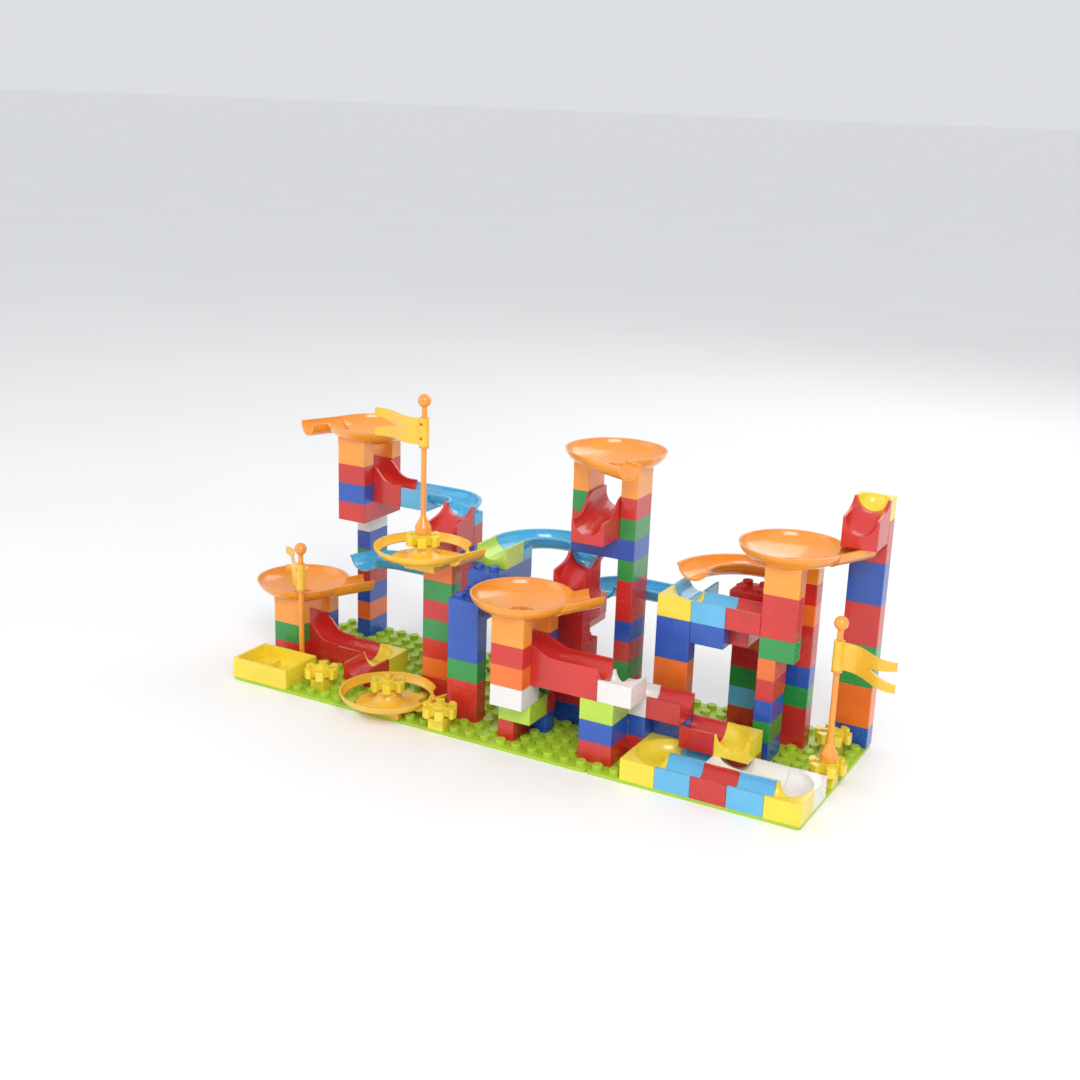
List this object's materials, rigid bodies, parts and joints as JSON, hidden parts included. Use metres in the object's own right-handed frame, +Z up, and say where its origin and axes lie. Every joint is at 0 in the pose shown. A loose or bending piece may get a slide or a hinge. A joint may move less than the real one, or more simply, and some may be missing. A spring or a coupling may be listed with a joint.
{
  "type": "marble run",
  "caption": "Toy marble run of stud bricks on base plates, with funnels, slides, round dishes, curved tracks, windmills and flags.",
  "frame": {"origin": "middle of the underside of the middle base plate, on the surface that the run stands on", "axes": "+X along the row of base plates to the right, +Y to the back, +Z up"},
  "size_m": [0.6572, 0.235, 0.2962],
  "materials": {
    "blue": "moulded gloss",
    "clear_blue": "moulded gloss, see-through",
    "green": "moulded gloss",
    "light_blue": "moulded gloss",
    "lime": "moulded gloss",
    "orange": "moulded gloss",
    "orange_bright": "moulded gloss",
    "plate_lime": "satin",
    "red": "moulded gloss",
    "white": "moulded gloss",
    "yellow": "moulded gloss",
    "yellow_orange": "moulded gloss"
  },
  "bodies": {
    "root": {"base_plate_left": "plate_lime", "base_plate_middle": "plate_lime", "base_plate_right": "plate_lime", "big_blue_curve": "clear_blue", "blue_bricks_1x2": "blue", "blue_bricks_2x2": "blue", "blue_bricks_2x4": "blue", "blue_tall_bricks_1x2": "blue", "blue_track": "clear_blue", "chute_centre": "red", "dish_front": "yellow_orange", "dish_upper": "yellow_orange", "flagpole_left": "orange_bright", "flagpole_right": "orange_bright", "flagpole_upper": "orange_bright", "funnel_front": "orange_bright", "funnel_left": "orange_bright", "funnel_middle": "orange_bright", "funnel_right": "orange_bright", "funnel_upper_left": "orange_bright", "green_bricks_1x2": "green", "green_bricks_2x2": "green", "green_tall_bricks_1x2": "green", "light_blue_bricks_1x2": "light_blue", "light_blue_tracks": "light_blue", "lime_bricks_1x2": "lime", "lime_bricks_2x2": "lime", "lime_track": "lime", "low_blue_curves": "clear_blue", "low_chutes": "red", "orange_bricks_1x2": "orange", "orange_bricks_2x4": "orange", "orange_curve": "orange_bright", "orange_tall_bricks_1x2": "orange", "red_bricks_1x2": "red", "red_bricks_2x2": "red", "red_bricks_2x4": "red", "red_tall_bricks_1x2": "red", "red_tracks": "red", "short_slides": "red", "slide_front": "red", "start_track": "yellow", "tray": "yellow", "upper_blue_curve": "clear_blue", "white_bricks_1x2": "white", "white_bricks_2x2": "white", "white_corners": "white", "white_tracks": "white", "windmill_posts": "yellow", "yellow_corners": "yellow"},
    "flag_left": {"flag_left": "yellow_orange"},
    "flag_right": {"flag_right": "yellow_orange"},
    "flag_upper": {"flag_upper": "yellow_orange"},
    "windmill_1": {"windmill_1": "yellow"},
    "windmill_2": {"windmill_2": "yellow"},
    "windmill_3": {"windmill_3": "yellow"},
    "windmill_4": {"windmill_4": "yellow"},
    "windmill_front": {"windmill_front": "yellow"},
    "windmill_upper": {"windmill_upper": "yellow"}
  },
  "joints": [
    {"name": "flag_left_swivel", "type": "hinge", "parent": "root", "child": "flag_left", "pos_m": [-0.248, -0.04, 0.084], "axis": [0, 0, 1], "continuous": true},
    {"name": "flag_right_swivel", "type": "hinge", "parent": "root", "child": "flag_right", "pos_m": [0.28, -0.008, 0.1064], "axis": [0, 0, 1], "range_deg": [-150, 150]},
    {"name": "flag_upper_swivel", "type": "hinge", "parent": "root", "child": "flag_upper", "pos_m": [-0.102, -0.048, 0.2492], "axis": [0, 0, 1], "continuous": true},
    {"name": "windmill_1_spin", "type": "hinge", "parent": "root", "child": "windmill_1", "pos_m": [-0.2, -0.072, 0.0141], "axis": [0, 0, 1], "continuous": true},
    {"name": "windmill_2_spin", "type": "hinge", "parent": "root", "child": "windmill_2", "pos_m": [-0.056, -0.088, 0.0141], "axis": [0, 0, 1], "continuous": true},
    {"name": "windmill_3_spin", "type": "hinge", "parent": "root", "child": "windmill_3", "pos_m": [0.28, -0.008, 0.0141], "axis": [0, 0, 1], "continuous": true},
    {"name": "windmill_4_spin", "type": "hinge", "parent": "root", "child": "windmill_4", "pos_m": [0.264, 0.056, 0.0141], "axis": [0, 0, 1], "continuous": true},
    {"name": "windmill_front_spin", "type": "hinge", "parent": "root", "child": "windmill_front", "pos_m": [-0.118, -0.08, 0.0225], "axis": [0, 0, 1], "continuous": true},
    {"name": "windmill_upper_spin", "type": "hinge", "parent": "root", "child": "windmill_upper", "pos_m": [-0.102, -0.048, 0.1569], "axis": [0, 0, 1], "continuous": true}
  ]
}
